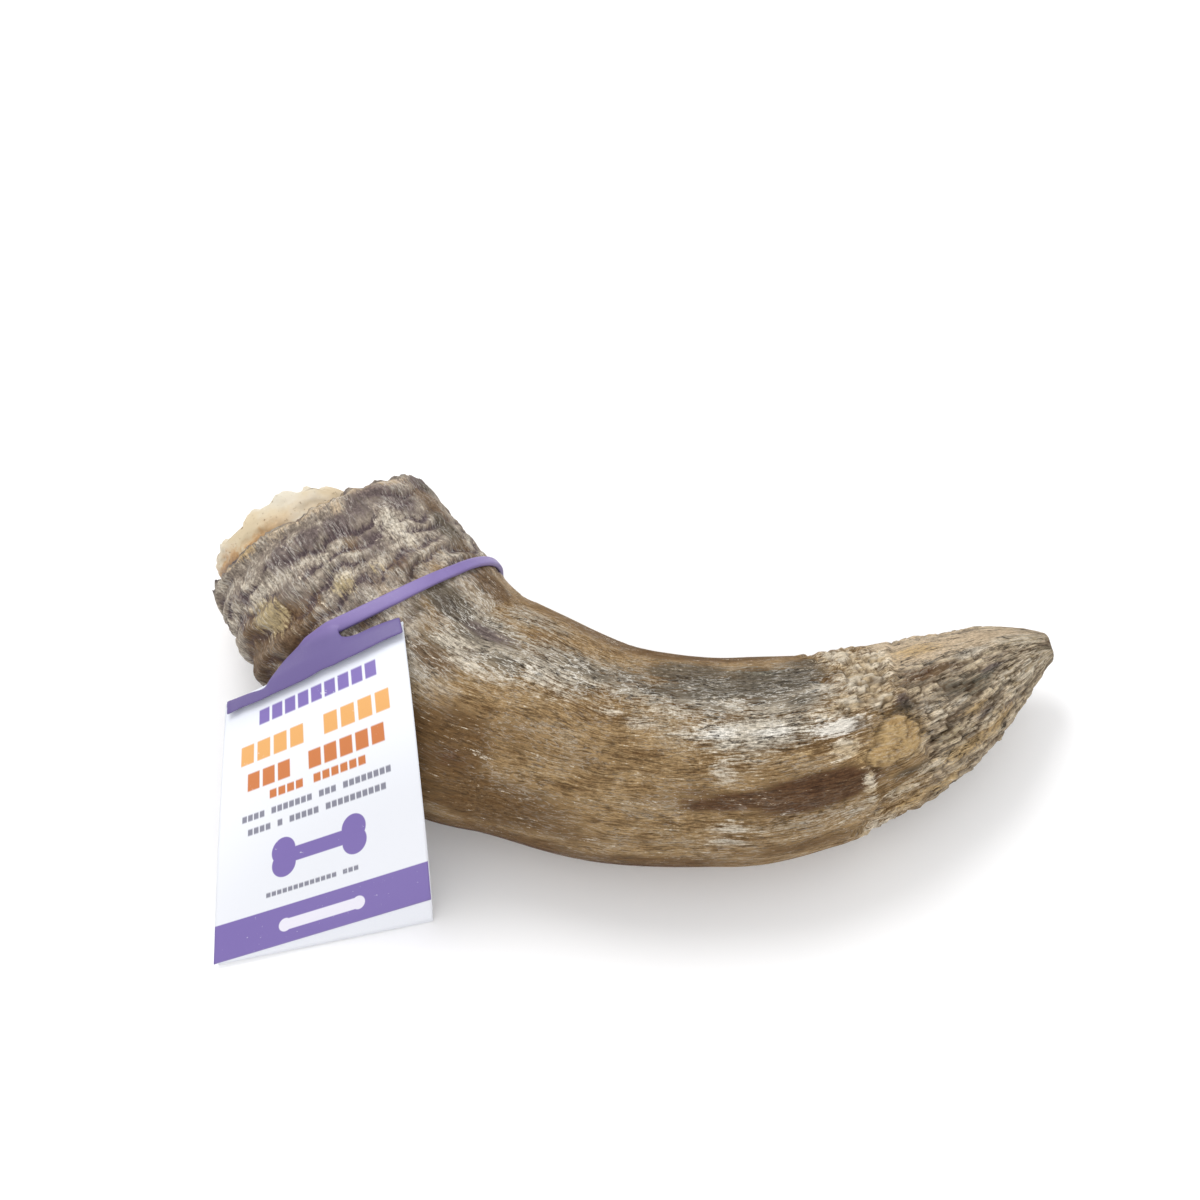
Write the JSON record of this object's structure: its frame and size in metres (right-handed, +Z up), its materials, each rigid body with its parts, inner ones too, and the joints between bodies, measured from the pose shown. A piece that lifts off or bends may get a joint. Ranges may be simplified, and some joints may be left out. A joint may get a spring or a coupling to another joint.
{
  "type": "lamb horn dog chew",
  "caption": "Curved lamb horn chew with growth ridges, a broken outer layer and a bone core at its base, and an elastic band that holds a folded card hang tag.",
  "frame": {"origin": "on the surface that the horn rests on, under the flat of its belly", "axes": "+Z up from the resting surface, +X along the horn from its base to its tip, +Y towards the hollow side of its curve"},
  "size_m": [0.1689, 0.093, 0.0467],
  "materials": {
    "horn": "dry fibrous horn, rough, grey to ochre brown",
    "bone": "porous cream bone, stained orange where it meets the horn",
    "elastic": "smooth satin elastomer, purple",
    "card": "coated white card, satin, printed"
  },
  "bodies": {
    "root": {"horn_sheath": "horn", "bone_core": "bone", "tag_band": "elastic", "tag_card": "card"}
  },
  "joints": []
}
